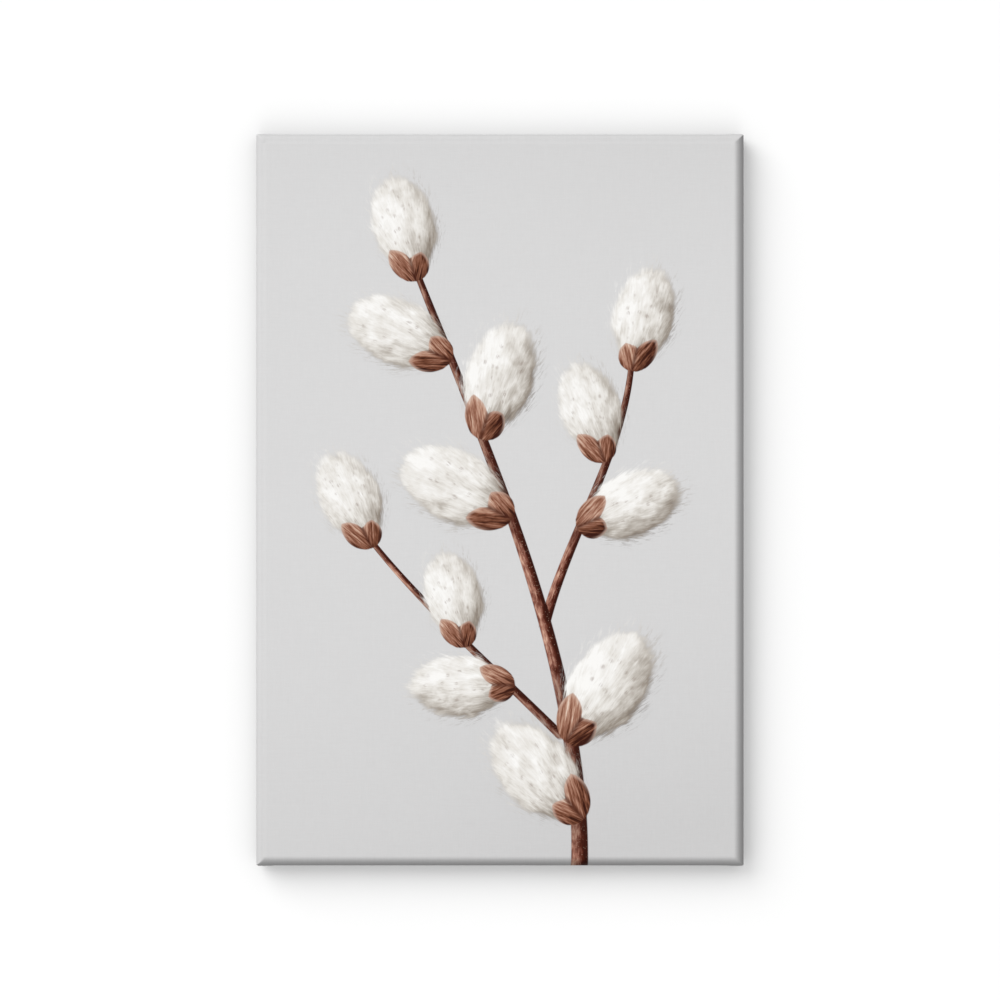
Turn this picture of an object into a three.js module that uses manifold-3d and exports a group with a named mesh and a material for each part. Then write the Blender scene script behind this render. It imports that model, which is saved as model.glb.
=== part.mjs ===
// A stretched canvas print: one cloth drawn over a frame of four mitred pine bars and stapled behind it.
// Millimetres, +Z up, X across the picture. The printed face looks along -Y and the back along +Y.
// The origin is the middle notch of the sawtooth hanger, where a wall nail holds the picture.
import * as THREE from "three";
import { mergeVertices } from "three/addons/utils/BufferGeometryUtils.js";
import Module from "manifold-3d";

const wasm = await Module();
wasm.setup();

// The wrapped picture. Depth runs from the printed face to the back of the turned-over cloth.
const WIDTH = 400;
const HEIGHT = 600;
const DEPTH = 20;
const FRONT_EDGE_RADIUS = 8.5;
const REAR_EDGE_RADIUS = 1.8;
const CORNER_RADIUS = 1.5;
const LEAST_CORNER_RADIUS = 0.2;
const EDGE_STEPS = 7;
const CORNER_STEPS = 3;

// The cloth. Its margin is the strip turned over behind, and a fold doubles it at each corner.
const CLOTH = 0.6;
const MARGIN = 25;
const FOLD_SIDE = 24;
const FOLD_INSET = 1.2;
const FOLD_END = 4;

// Clearance between pieces that touch.
const GAP = 0.3;

// The stretcher bars. The front face falls away from a lip at the outer edge.
const BAR_WIDTH = 40;
const LIP_WIDTH = 10.5;
const FRONT_FALL = 3;
const TONGUE = { near: 10, far: 30, root: 45, thickness: 4 };

// The corner wedges: flat keys that lie along one bar with their tips in a slot of the other.
const WEDGE = { length: 36, tip: 6, head: 14, thickness: 3, inSlot: 14, bevel: 2.5 };
const WEDGE_REAR_LEVEL = -5;
const WEDGE_FRONT_LEVEL = -13.2;

// The staples: a flat wire crown with a leg at each end.
const STAPLE = { crown: 10.6, wire: 0.7, width: 1.05, leg: 6 };
const STAPLE_INSET = 12;
const STAPLES_UPRIGHT = 10;
const STAPLES_ACROSS = 6;
const END_STAPLE_UPRIGHT = 55;
const END_STAPLE_ACROSS = 58;
const CORNER_STAPLE = { fromSide: 16, fromEnd: 7 };

// The hanger: a strip whose middle stands off the bar, with teeth along its lower edge.
const HANGER = { length: 45, height: 10, sheet: 0.9, flat: 9.5, rise: 2.4, ramp: 2.6, inset: 32.5 };
const TEETH = { pitch: 2, depth: 1.5, sideCount: 4 };
const NAIL = { shank: 0.7, head: 1.8, headThickness: 0.8, length: 10, fromEnd: 4.9 };
const NAIL_SIDES = 16;

// The bumpers that hold the bottom of the picture as far from the wall as the hanger does.
const BUMPER = { radius: 5, face: 4, shoulder: 0.9, fromMiddle: 148, inset: 32.5 };
const BUMPER_SIDES = 24;

// Depths: y is 0 at the back of the bars.
const WRAP = CLOTH + GAP;
const BAR_DEPTH = DEPTH - 2 * WRAP;
const FACE_Y = -BAR_DEPTH - WRAP;
const FRAME_WIDTH = WIDTH - 2 * WRAP;
const FRAME_HEIGHT = HEIGHT - 2 * WRAP;
const TONGUE_Y = -BAR_DEPTH / 2;
const HANGER_Z = FRAME_HEIGHT / 2 - HANGER.inset;
const HANGER_BACK = GAP + HANGER.rise + HANGER.sheet;
const NOTCH_Z = HANGER_Z - HANGER.height / 2 + TEETH.depth;
const NOTCH_Y = HANGER_BACK - HANGER.sheet / 2;
const CUT = 50; // how far a cutter runs past what it cuts

const material = (color, roughness, metalness = 0) =>
  new THREE.MeshStandardMaterial({ color, roughness, metalness });
const CANVAS_FINISH = material(0xd8d8d9, 0.75);
const PINE_FINISH = material(0xdcb983, 0.7);
const WEDGE_FINISH = material(0xd2a877, 0.65);
const STAPLE_FINISH = material(0xb9bcc0, 0.35, 1);
const HANGER_FINISH = material(0xc9a24f, 0.35, 1);
const NAIL_FINISH = material(0xbf9a4c, 0.35, 1);
const BUMPER_FINISH = material(0x3a3a3c, 0.85);

// A closed geometry as a solid that can be joined and cut.
function solidOf(geometry) {
  const bare = geometry.index ? geometry.toNonIndexed() : geometry.clone();
  bare.deleteAttribute("normal");
  bare.deleteAttribute("uv");
  const merged = mergeVertices(bare, 1e-4);
  return new wasm.Manifold(
    new wasm.Mesh({
      numProp: 3,
      vertProperties: merged.attributes.position.array,
      triVerts: new Uint32Array(merged.index.array),
    }),
  );
}

// A solid as a flat-shaded geometry.
function geometryOf(solid) {
  const { vertProperties, triVerts } = solid.getMesh();
  const shared = new THREE.BufferGeometry();
  shared.setAttribute("position", new THREE.BufferAttribute(vertProperties, 3));
  shared.setIndex(new THREE.BufferAttribute(triVerts, 1));
  const facets = shared.toNonIndexed();
  facets.computeVertexNormals();
  return facets;
}

// A box between two corners.
function box(low, high) {
  const size = high.map((value, i) => value - low[i]);
  const geometry = new THREE.BoxGeometry(...size);
  geometry.translate(...low.map((value, i) => value + size[i] / 2));
  return geometry;
}

// A flat outline of [x, z] points as a plate that reaches from y = rear forward by its thickness.
function plate(points, rear, thickness, holes = []) {
  const outline = new THREE.Shape(points.map(([x, z]) => new THREE.Vector2(x, z)));
  outline.holes = holes;
  const geometry = new THREE.ExtrudeGeometry(outline, {
    depth: thickness,
    bevelEnabled: false,
    curveSegments: NAIL_SIDES / 4,
  });
  geometry.rotateX(Math.PI / 2);
  geometry.translate(0, rear, 0);
  return geometry;
}

// One level of the wrapped picture: a rectangle with small round corners, anticlockwise from the front.
function ring(y, halfWidth, halfHeight, radius) {
  const points = [];
  for (let corner = 0; corner < 4; corner++) {
    const signX = corner === 0 || corner === 3 ? 1 : -1;
    const signZ = corner < 2 ? 1 : -1;
    for (let step = 0; step <= CORNER_STEPS; step++) {
      const angle = (corner + step / CORNER_STEPS) * (Math.PI / 2);
      points.push([
        signX * (halfWidth - radius) + radius * Math.cos(angle),
        y,
        signZ * (halfHeight - radius) + radius * Math.sin(angle),
      ]);
    }
  }
  return points;
}

// The wrapped picture as a full block, all its faces moved in by an inset, so that nested blocks are
// a constant thickness apart: the cloth's outside, its inside, and the frame of bars within.
function block(inset) {
  const halfWidth = WIDTH / 2 - inset;
  const halfHeight = HEIGHT / 2 - inset;
  const rear = WRAP - inset;
  const face = FACE_Y + inset;
  const rearRadius = REAR_EDGE_RADIUS - inset;
  const faceRadius = FRONT_EDGE_RADIUS - inset;
  const levels = [];
  for (let step = 0; step <= EDGE_STEPS; step++) {
    const angle = (step / EDGE_STEPS) * (Math.PI / 2);
    levels.push([rear - rearRadius * (1 - Math.cos(angle)), rearRadius * (1 - Math.sin(angle))]);
  }
  for (let step = 0; step <= EDGE_STEPS; step++) {
    const angle = (step / EDGE_STEPS) * (Math.PI / 2);
    levels.push([face + faceRadius * (1 - Math.sin(angle)), faceRadius * (1 - Math.cos(angle))]);
  }
  const rings = levels.map(([y, drawnIn]) =>
    ring(
      y,
      halfWidth - drawnIn,
      halfHeight - drawnIn,
      Math.max(CORNER_RADIUS - inset - drawnIn, LEAST_CORNER_RADIUS),
    ),
  );
  const count = rings[0].length;
  const triangles = [];
  for (let level = 0; level + 1 < rings.length; level++) {
    for (let i = 0; i < count; i++) {
      const behind = level * count + i;
      const behindNext = level * count + ((i + 1) % count);
      triangles.push(behind, behindNext, behindNext + count);
      triangles.push(behind, behindNext + count, behind + count);
    }
  }
  const last = (rings.length - 1) * count;
  for (let i = 1; i + 1 < count; i++) {
    triangles.push(0, i + 1, i);
    triangles.push(last, last + i, last + i + 1);
  }
  const geometry = new THREE.BufferGeometry();
  geometry.setAttribute("position", new THREE.Float32BufferAttribute(rings.flat(2), 3));
  geometry.setIndex(triangles);
  return solidOf(geometry);
}

// A point of one corner: how far it lies in from the frame's side and from its end, at signs of x and z.
const cornerPoint = (signX, signZ, fromSide, fromEnd) => [
  signX * (FRAME_WIDTH / 2 - fromSide),
  signZ * (FRAME_HEIGHT / 2 - fromEnd),
];

const CORNERS = [
  { name: "top_left", signX: -1, signZ: 1 },
  { name: "top_right", signX: 1, signZ: 1 },
  { name: "bottom_left", signX: -1, signZ: -1 },
  { name: "bottom_right", signX: 1, signZ: -1 },
];

// Every staple: its name, its place on the back, whether its crown is upright, and what it lies on.
function staplePlaces() {
  const places = [];
  const spread = (count, half, at) => half - 2 * half * (at / (count - 1));
  for (const [side, sign] of [["left", -1], ["right", 1]]) {
    for (let i = 0; i < STAPLES_UPRIGHT; i++) {
      const z = spread(STAPLES_UPRIGHT, HEIGHT / 2 - END_STAPLE_UPRIGHT, i);
      const x = sign * (WIDTH / 2 - STAPLE_INSET);
      places.push({ name: `staple_${side}_${i + 1}`, x, z, upright: true, seat: WRAP });
    }
  }
  for (const [side, sign] of [["top", 1], ["bottom", -1]]) {
    for (let i = 0; i < STAPLES_ACROSS; i++) {
      const x = -spread(STAPLES_ACROSS, WIDTH / 2 - END_STAPLE_ACROSS, i);
      const z = sign * (HEIGHT / 2 - STAPLE_INSET);
      places.push({ name: `staple_${side}_${i + 1}`, x, z, upright: false, seat: WRAP });
    }
  }
  for (const { name, signX, signZ } of CORNERS) {
    const { fromSide, fromEnd } = CORNER_STAPLE;
    const [x, z] = cornerPoint(signX, signZ, fromSide, fromEnd);
    places.push({ name: `staple_${name}`, x, z, upright: false, seat: WRAP + CLOTH });
  }
  return places;
}

// A staple at the origin, its crown along X: a flat-wire U whose legs point forward.
function stapleGeometry() {
  const half = STAPLE.crown / 2;
  const inner = half - STAPLE.wire;
  const outline = new THREE.Shape(
    [
      [-half, -STAPLE.leg],
      [-inner, -STAPLE.leg],
      [-inner, 0],
      [inner, 0],
      [inner, -STAPLE.leg],
      [half, -STAPLE.leg],
      [half, STAPLE.wire],
      [-half, STAPLE.wire],
    ].map(([x, y]) => new THREE.Vector2(x, y)),
  );
  const geometry = new THREE.ExtrudeGeometry(outline, { depth: STAPLE.width, bevelEnabled: false });
  geometry.translate(0, 0, -STAPLE.width / 2);
  return geometry;
}

// The two holes that a staple's legs make, in the cloth and in the bar under it.
function stapleHoles({ x, z, upright, seat }) {
  const along = STAPLE.wire + 2 * GAP;
  const across = STAPLE.width + 2 * GAP;
  const toLeg = STAPLE.crown / 2 - STAPLE.wire / 2;
  return [-toLeg, toLeg].map((offset) => {
    const middleX = x + (upright ? 0 : offset);
    const middleZ = z + (upright ? offset : 0);
    const halfX = (upright ? across : along) / 2;
    const halfZ = (upright ? along : across) / 2;
    return solidOf(
      box(
        [middleX - halfX, seat - STAPLE.leg - GAP, middleZ - halfZ],
        [middleX + halfX, CUT, middleZ + halfZ],
      ),
    );
  });
}

// The outline of a wedge in one corner, larger all round by a clearance. It lies along the end bar, or
// along the side bar when turned.
function wedgeOutline({ signX, signZ }, turned, clearance) {
  const tipEnd = BAR_WIDTH - WEDGE.inSlot - clearance;
  const headEnd = BAR_WIDTH - WEDGE.inSlot + WEDGE.length + clearance;
  const edge = BAR_WIDTH + 2 * GAP - clearance;
  const points = [
    [tipEnd, edge],
    [headEnd, edge],
    [headEnd, edge + WEDGE.head - WEDGE.bevel + 2 * clearance],
    [headEnd - WEDGE.bevel, edge + WEDGE.head + 2 * clearance],
    [tipEnd, edge + WEDGE.tip + 2 * clearance],
  ];
  return points.map(([along, across]) =>
    turned
      ? cornerPoint(signX, signZ, across, along)
      : cornerPoint(signX, signZ, along, across),
  );
}

function wedgeGeometry(corner, turned, clearance = 0) {
  const level = turned ? WEDGE_FRONT_LEVEL : WEDGE_REAR_LEVEL;
  const thickness = WEDGE.thickness + 2 * clearance;
  return plate(wedgeOutline(corner, turned, clearance), level + thickness / 2, thickness);
}

// A bar along the bottom of a frame: a five-sided section whose ends are cut back by their distance
// from the outer face, which makes the mitres.
function mitredBar(length, across) {
  const section = new THREE.Shape(
    [
      [0, 0],
      [BAR_WIDTH, 0],
      [BAR_WIDTH, BAR_DEPTH - FRONT_FALL],
      [LIP_WIDTH, BAR_DEPTH],
      [0, BAR_DEPTH],
    ].map(([u, depth]) => new THREE.Vector2(u, depth)),
  );
  const geometry = new THREE.ExtrudeGeometry(section, { depth: 1, bevelEnabled: false });
  const corners = geometry.getAttribute("position");
  const mitreStep = GAP / Math.SQRT2;
  for (let i = 0; i < corners.count; i++) {
    const u = corners.getX(i);
    const depth = corners.getY(i);
    const end = corners.getZ(i) > 0.5 ? 1 : -1;
    corners.setXYZ(i, end * (length / 2 - u - mitreStep), -depth, u - across / 2);
  }
  return geometry;
}

// The tongue at one end of an upright bar, or the pocket for it, in the plane of the end bar.
function tongue({ signX, signZ }, clearance) {
  const [nearX, nearZ] = cornerPoint(signX, signZ, TONGUE.near - clearance, TONGUE.near - clearance);
  const [farX, farZ] = cornerPoint(signX, signZ, TONGUE.far + clearance, TONGUE.root);
  const half = TONGUE.thickness / 2 + clearance;
  return solidOf(
    box(
      [Math.min(nearX, farX), TONGUE_Y - half, Math.min(nearZ, farZ)],
      [Math.max(nearX, farX), TONGUE_Y + half, Math.max(nearZ, farZ)],
    ),
  );
}

const BARS = [
  { name: "bar_bottom", turn: 0, upright: false, touches: (corner) => corner.signZ < 0 },
  { name: "bar_left", turn: 1, upright: true, touches: (corner) => corner.signX < 0 },
  { name: "bar_top", turn: 2, upright: false, touches: (corner) => corner.signZ > 0 },
  { name: "bar_right", turn: 3, upright: true, touches: (corner) => corner.signX > 0 },
];

// A stretcher bar in its place, shaped by the rounded block that all four bars fill together.
function barSolid({ turn, upright, touches }, frameBlock, holes) {
  const length = upright ? FRAME_HEIGHT : FRAME_WIDTH;
  const across = upright ? FRAME_WIDTH : FRAME_HEIGHT;
  const geometry = mitredBar(length, across);
  geometry.rotateY((turn * Math.PI) / 2);
  let bar = solidOf(geometry).intersect(frameBlock);
  for (const corner of CORNERS.filter(touches)) {
    bar = upright ? bar.add(tongue(corner, 0)) : bar.subtract(tongue(corner, GAP));
    bar = bar.subtract(solidOf(wedgeGeometry(corner, !upright, GAP)));
  }
  return bar.subtract(holes);
}

// The cloth: a thin tray over the front and sides, turned over behind, and doubled by the folds.
function canvasSolid(holes) {
  const windowX = WIDTH / 2 - MARGIN;
  const windowZ = HEIGHT / 2 - MARGIN;
  const rearWindow = solidOf(box([-windowX, -CLOTH, -windowZ], [windowX, CUT, windowZ]));
  let cloth = block(0).subtract(block(CLOTH)).subtract(rearWindow);
  for (const { signX, signZ } of CORNERS) {
    const fold = [
      [FOLD_INSET + FOLD_END, FOLD_INSET],
      [FOLD_SIDE, FOLD_INSET],
      [FOLD_SIDE, FOLD_SIDE - FOLD_END],
    ].map(([fromSide, fromEnd]) => cornerPoint(signX, signZ, fromSide, fromEnd));
    cloth = cloth.add(solidOf(plate(fold, WRAP + CLOTH, CLOTH + CLOTH / 2)));
  }
  return cloth.subtract(holes);
}

// The hanger: its toothed outline met with the bent section of its strip.
function hangerSolid() {
  const half = HANGER.length / 2;
  const low = -HANGER.height / 2;
  const clip = HANGER.height / 4;
  const outline = [
    [-half, low + clip],
    [-half + clip, low],
  ];
  for (let tooth = -TEETH.sideCount; tooth <= TEETH.sideCount; tooth++) {
    const middle = tooth * TEETH.pitch;
    outline.push([middle - TEETH.pitch / 2, low]);
    outline.push([middle, low + TEETH.depth]);
  }
  outline.push([(TEETH.sideCount + 0.5) * TEETH.pitch, low]);
  outline.push([half - clip, low], [half, low + clip]);
  outline.push([half, -low - clip], [half - clip, -low], [-half + clip, -low], [-half, -low - clip]);
  const holes = [-1, 1].map((side) => {
    const hole = new THREE.Path();
    hole.absarc(side * (half - NAIL.fromEnd), 0, NAIL.shank + GAP, 0, 2 * Math.PI);
    return hole;
  });
  const toothed = solidOf(plate(outline, HANGER_BACK + GAP, HANGER_BACK + GAP, holes));
  const foot = half - HANGER.flat;
  const top = foot - HANGER.ramp;
  const lean = HANGER.sheet / 3;
  const section = new THREE.Shape(
    [
      [-half, 0],
      [-foot, 0],
      [-top, HANGER.rise],
      [top, HANGER.rise],
      [foot, 0],
      [half, 0],
      [half, HANGER.sheet],
      [foot + lean, HANGER.sheet],
      [top + lean, HANGER.rise + HANGER.sheet],
      [-top - lean, HANGER.rise + HANGER.sheet],
      [-foot - lean, HANGER.sheet],
      [-half, HANGER.sheet],
    ].map(([x, y]) => new THREE.Vector2(x, y + GAP)),
  );
  const strip = new THREE.ExtrudeGeometry(section, { depth: HANGER.height + 2, bevelEnabled: false });
  strip.translate(0, 0, -HANGER.height / 2 - 1);
  return solidOf(strip).intersect(toothed);
}

// A round nail or bumper: [radius, height] points turned about the axis, which is then laid along +Y.
function turned(profile, sides) {
  return new THREE.LatheGeometry(
    profile.map(([radius, height]) => new THREE.Vector2(radius, height)),
    sides,
  );
}

const nailGeometry = turned(
  [
    [0, -NAIL.length],
    [NAIL.shank, -NAIL.length + 2 * NAIL.shank],
    [NAIL.shank, 0],
    [NAIL.head, 0],
    [NAIL.head, NAIL.headThickness / 2],
    [NAIL.head * 0.6, NAIL.headThickness],
    [0, NAIL.headThickness],
  ],
  NAIL_SIDES,
);

const bumperHeight = HANGER_BACK - GAP;
const bumperGeometry = turned(
  [
    [0, 0],
    [BUMPER.radius, 0],
    [BUMPER.radius, bumperHeight - BUMPER.shoulder],
    [BUMPER.face, bumperHeight],
    [0, bumperHeight],
  ],
  BUMPER_SIDES,
);

// The bore in the top bar that each hanger nail sits in.
function nailBore(x) {
  const bore = turned(
    [
      [0, -NAIL.length - GAP],
      [NAIL.shank + GAP, -NAIL.length - GAP],
      [NAIL.shank + GAP, CUT],
      [0, CUT],
    ],
    NAIL_SIDES,
  );
  bore.translate(x, HANGER.sheet + 2 * GAP, HANGER_Z);
  return solidOf(bore);
}

const picture = new THREE.Group();
picture.position.set(0, -NOTCH_Y, -NOTCH_Z);

function addPiece(name, geometry, finish, x = 0, y = 0, z = 0) {
  const mesh = new THREE.Mesh(geometry, finish);
  mesh.name = name;
  mesh.position.set(x, y, z);
  picture.add(mesh);
  return mesh;
}

const staples = staplePlaces();
const nailPlaces = [
  { name: "hanger_nail_left", x: -HANGER.length / 2 + NAIL.fromEnd },
  { name: "hanger_nail_right", x: HANGER.length / 2 - NAIL.fromEnd },
];
const legHoles = wasm.Manifold.union(staples.flatMap(stapleHoles));
const allHoles = wasm.Manifold.union([legHoles, ...nailPlaces.map(({ x }) => nailBore(x))]);

addPiece("canvas", geometryOf(canvasSolid(legHoles)), CANVAS_FINISH);

const frameBlock = block(WRAP);
for (const bar of BARS) {
  addPiece(bar.name, geometryOf(barSolid(bar, frameBlock, allHoles)), PINE_FINISH);
}

for (const corner of CORNERS) {
  addPiece(`wedge_${corner.name}_across`, wedgeGeometry(corner, false), WEDGE_FINISH);
  addPiece(`wedge_${corner.name}_upright`, wedgeGeometry(corner, true), WEDGE_FINISH);
}

for (const { name, x, z, upright, seat } of staples) {
  const staple = addPiece(name, stapleGeometry(), STAPLE_FINISH, x, seat + GAP, z);
  staple.rotation.y = upright ? Math.PI / 2 : 0;
}

addPiece("hanger", geometryOf(hangerSolid()), HANGER_FINISH, 0, 0, HANGER_Z);
for (const { name, x } of nailPlaces) {
  addPiece(name, nailGeometry, NAIL_FINISH, x, HANGER.sheet + 2 * GAP, HANGER_Z);
}

const bumperZ = -FRAME_HEIGHT / 2 + BUMPER.inset;
for (const [side, sign] of [["left", -1], ["right", 1]]) {
  addPiece(`bumper_${side}`, bumperGeometry, BUMPER_FINISH, sign * BUMPER.fromMiddle, GAP, bumperZ);
}

const root = new THREE.Group();
root.add(picture);

export default root;
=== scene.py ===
import math

import bmesh
import bpy
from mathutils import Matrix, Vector, noise


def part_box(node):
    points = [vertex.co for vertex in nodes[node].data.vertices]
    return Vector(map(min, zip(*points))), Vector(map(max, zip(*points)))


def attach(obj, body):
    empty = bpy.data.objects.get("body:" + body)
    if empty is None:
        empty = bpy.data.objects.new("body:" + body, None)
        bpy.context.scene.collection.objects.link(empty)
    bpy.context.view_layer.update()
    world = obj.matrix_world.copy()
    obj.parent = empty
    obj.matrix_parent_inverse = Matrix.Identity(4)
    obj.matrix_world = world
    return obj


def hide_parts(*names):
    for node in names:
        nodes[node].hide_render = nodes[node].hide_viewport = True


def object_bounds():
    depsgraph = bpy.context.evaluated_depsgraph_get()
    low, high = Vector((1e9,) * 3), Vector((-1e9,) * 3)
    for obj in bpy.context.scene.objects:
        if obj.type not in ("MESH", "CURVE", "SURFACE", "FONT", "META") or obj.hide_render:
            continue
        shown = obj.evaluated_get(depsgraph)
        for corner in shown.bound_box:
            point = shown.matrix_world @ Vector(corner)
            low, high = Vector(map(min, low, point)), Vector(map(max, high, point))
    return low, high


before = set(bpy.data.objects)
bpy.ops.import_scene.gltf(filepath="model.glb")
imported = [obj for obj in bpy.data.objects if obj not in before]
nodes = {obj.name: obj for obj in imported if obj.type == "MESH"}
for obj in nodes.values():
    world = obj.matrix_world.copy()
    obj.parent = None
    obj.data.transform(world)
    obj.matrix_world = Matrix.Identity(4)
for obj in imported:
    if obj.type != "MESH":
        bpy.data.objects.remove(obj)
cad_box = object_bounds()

scene = bpy.context.scene

# ---------------------------------------------------------------------------------------------------------
# Stretcher bars. Four planed pine bars, mitred and tongued into a frame, with the back arrises round the
# opening taken off by hand. The growth rings run along each bar, so the mitres show them cut across.

MM = 0.001


class Shade:
    """A value inside a material: a socket that Python's operators work on."""

    def __init__(self, tree, socket=None):
        self.tree = tree
        self.socket = socket

    def node(self, kind, settings=None, inputs=None, output=0):
        """Adds a node, sets it up, then fills its sockets with numbers, tuples or other values."""
        made = self.tree.nodes.new("ShaderNode" + kind)
        for name, value in (settings or {}).items():
            if name == "stops":
                ramp = made.color_ramp.elements
                while len(ramp) < len(value):
                    ramp.new(1.0)
                for element, (place, colour) in zip(ramp, value):
                    element.position = place
                    element.color = (*colour, 1.0)
            else:
                setattr(made, name, value)
        for key, value in (inputs or {}).items():
            if isinstance(value, Shade):
                self.tree.links.new(value.socket, made.inputs[key])
            else:
                made.inputs[key].default_value = value
        return Shade(self.tree, made.outputs[output])

    def math(self, operation, *others):
        return self.node("Math", {"operation": operation}, dict(enumerate((self, *others))))

    def vector(self, operation, other):
        return self.node("VectorMath", {"operation": operation}, {0: self, 1: other})

    def scaled(self, factor):
        return self.node("VectorMath", {"operation": "SCALE"}, {0: self, "Scale": factor})

    def length(self):
        return self.node("VectorMath", {"operation": "LENGTH"}, {0: self}, "Value")

    def parts(self):
        """The x, y and z of a vector."""
        made = self.node("SeparateXYZ", inputs={0: self})
        return [Shade(self.tree, output) for output in made.socket.node.outputs]

    def vec(self, x, y, z=0.0):
        return self.node("CombineXYZ", inputs={0: x, 1: y, 2: z})

    def step(self, low, high):
        """0 below low and 1 above high, smooth between; falling where low is the larger."""
        return self.node("MapRange", {"interpolation_type": "SMOOTHSTEP"}, {0: self, 1: low, 2: high})

    def blend(self, below, above):
        """below where this is 0, and above where it is 1: colours."""
        inputs = {0: self, 6: below, 7: above}
        return self.node("Mix", {"data_type": "RGBA"}, inputs, 2)

    def choose(self, below, above):
        """As blend, for vectors."""
        inputs = {0: self, 4: below, 5: above}
        return self.node("Mix", {"data_type": "VECTOR"}, inputs, 1)

    def noise(self, scale, detail=2.0, roughness=0.5, distortion=0.0):
        """Cloudy values around 0.5 at this point."""
        inputs = {"Vector": self, "Scale": scale, "Detail": detail}
        inputs.update({"Roughness": roughness, "Distortion": distortion})
        return self.node("TexNoise", inputs=inputs)

    def ramp(self, *stops):
        return self.node("ValToRGB", {"stops": stops}, {0: self})

    def bump(self, distance, strength=1.0):
        return self.node("Bump", inputs={"Strength": strength, "Distance": distance, "Height": self})

    def paint(self, **varying):
        """Feeds the shader's sockets, named as Base_Color is for Base Color."""
        shader = self.tree.nodes["Principled BSDF"]
        for name, value in varying.items():
            self.tree.links.new(value.socket, shader.inputs[name.replace("_", " ")])

    def __add__(self, other):
        return self.math("ADD", other)

    def __sub__(self, other):
        return self.math("SUBTRACT", other)

    def __mul__(self, other):
        return self.math("MULTIPLY", other)

    def __truediv__(self, other):
        return self.math("DIVIDE", other)

    def __lt__(self, other):
        return self.math("LESS_THAN", other)

    def __rsub__(self, other):
        return self.node("Math", {"operation": "SUBTRACT"}, {0: other, 1: self})

    __radd__ = __add__
    __rmul__ = __mul__


def finish_named(name, **uniform):
    """A new material with its uniform sockets set, and the Shade that starts its nodes."""
    material = bpy.data.materials.new(name)
    material.use_nodes = True
    shader = material.node_tree.nodes["Principled BSDF"]
    for socket, value in uniform.items():
        shader.inputs[socket.replace("_", " ")].default_value = value
    return material, Shade(material.node_tree)


RING_SPACING = 2.6 * MM


def pine(name, upright, seed, knots):
    """Planed pine: pale wood with orange growth rings along the bar, fine fibres and a knot or two."""
    material, start = finish_named(name, Specular_IOR_Level=0.25)
    place = start.node("TexCoord", output="Object")
    x, y, z = place.parts()
    along, across = (z, x) if upright else (x, z)
    waver = start.vec(along * 2.2, across * 5.0, seed).noise(1.0, 1.0) - 0.5
    fine_waver = start.vec(along * 14.0, across * 30.0, seed + 3.0).noise(1.0, 1.0) - 0.5
    pith_across = across + waver * 0.03 + (0.9 + seed * 0.013)
    pith_depth = y + (0.021 + seed * 0.004)
    radius = start.vec(pith_across, pith_depth).length() + fine_waver * 0.0016
    darker = None
    for at_along, at_across, size in knots:
        near = start.vec((along - at_along) * 0.55, across - at_across, y * 0.2).length() / size
        pull = near.step(2.6, 0.5)
        radius = radius + pull * size * 0.9
        heart = near.step(0.85, 0.45)
        darker = heart if darker is None else darker.math("MAXIMUM", heart)
    uneven = start.vec(radius * 140.0, seed, 0.0).noise(1.0, 1.0)
    ring = (radius * (1.0 / RING_SPACING) + uneven * 2.4).math("FRACT")
    bold = start.vec(radius * 420.0, seed + 5.0, 0.0).noise(1.0, 0.0).step(0.25, 0.7)
    latewood = ring.step(0.25, 0.92) * ring.step(1.0, 0.93) * (bold * 0.75 + 0.25)
    fibres = start.vec(along * 9.0, across * 900.0, y * 900.0).noise(1.0, 2.0, 0.6)
    pores = start.vec(along * 60.0, across * 2400.0, y * 2400.0).noise(1.0, 1.0)
    tone = start.vec(along * 3.0, across * 12.0, seed * 2.0).noise(1.0, 2.0)
    canals = start.vec(along * 110.0, across * 3600.0, y * 3600.0).noise(1.0, 0.0).step(0.70, 0.80)
    grain = latewood * 0.52 + (fibres - 0.5) * 0.50 + (pores - 0.5) * 0.30 + (tone - 0.5) * 0.45
    grain = grain + canals * 0.22 + 0.14
    colour = grain.ramp(
        (0.0, (0.79, 0.60, 0.375)),
        (0.35, (0.735, 0.52, 0.295)),
        (0.8, (0.60, 0.365, 0.165)),
        (1.0, (0.49, 0.265, 0.10)),
    )
    colour = darker.blend(colour, (0.23, 0.095, 0.035, 1.0))
    rough = 0.60 + (fibres - 0.5) * 0.25 - latewood * 0.08
    relief = fibres * 0.6 + pores * 0.4 - latewood * 0.04
    start.paint(Base_Color=colour, Roughness=rough, Normal=relief.bump(0.00012, 0.8))
    return material


SAME_PLACE = 0.001 * MM
SAME_PLANE = math.radians(1)
EASED_ABOVE = math.radians(25)
SHARP_ABOVE = math.radians(35)


def mesh_of(work, name):
    """The mesh of a shape that was worked out in bmesh."""
    mesh = bpy.data.meshes.new(name)
    work.to_mesh(mesh)
    work.free()
    return mesh


def put(name, mesh, *replaced):
    """Shows a mesh as a piece of the one rigid body, in place of the nodes that it stands for."""
    piece = bpy.data.objects.new(name, mesh)
    scene.collection.objects.link(piece)
    mesh.shade_smooth()
    mesh.set_sharp_from_angle(angle=SHARP_ABOVE)
    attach(piece, "root")
    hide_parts(*replaced)
    return piece


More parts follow.
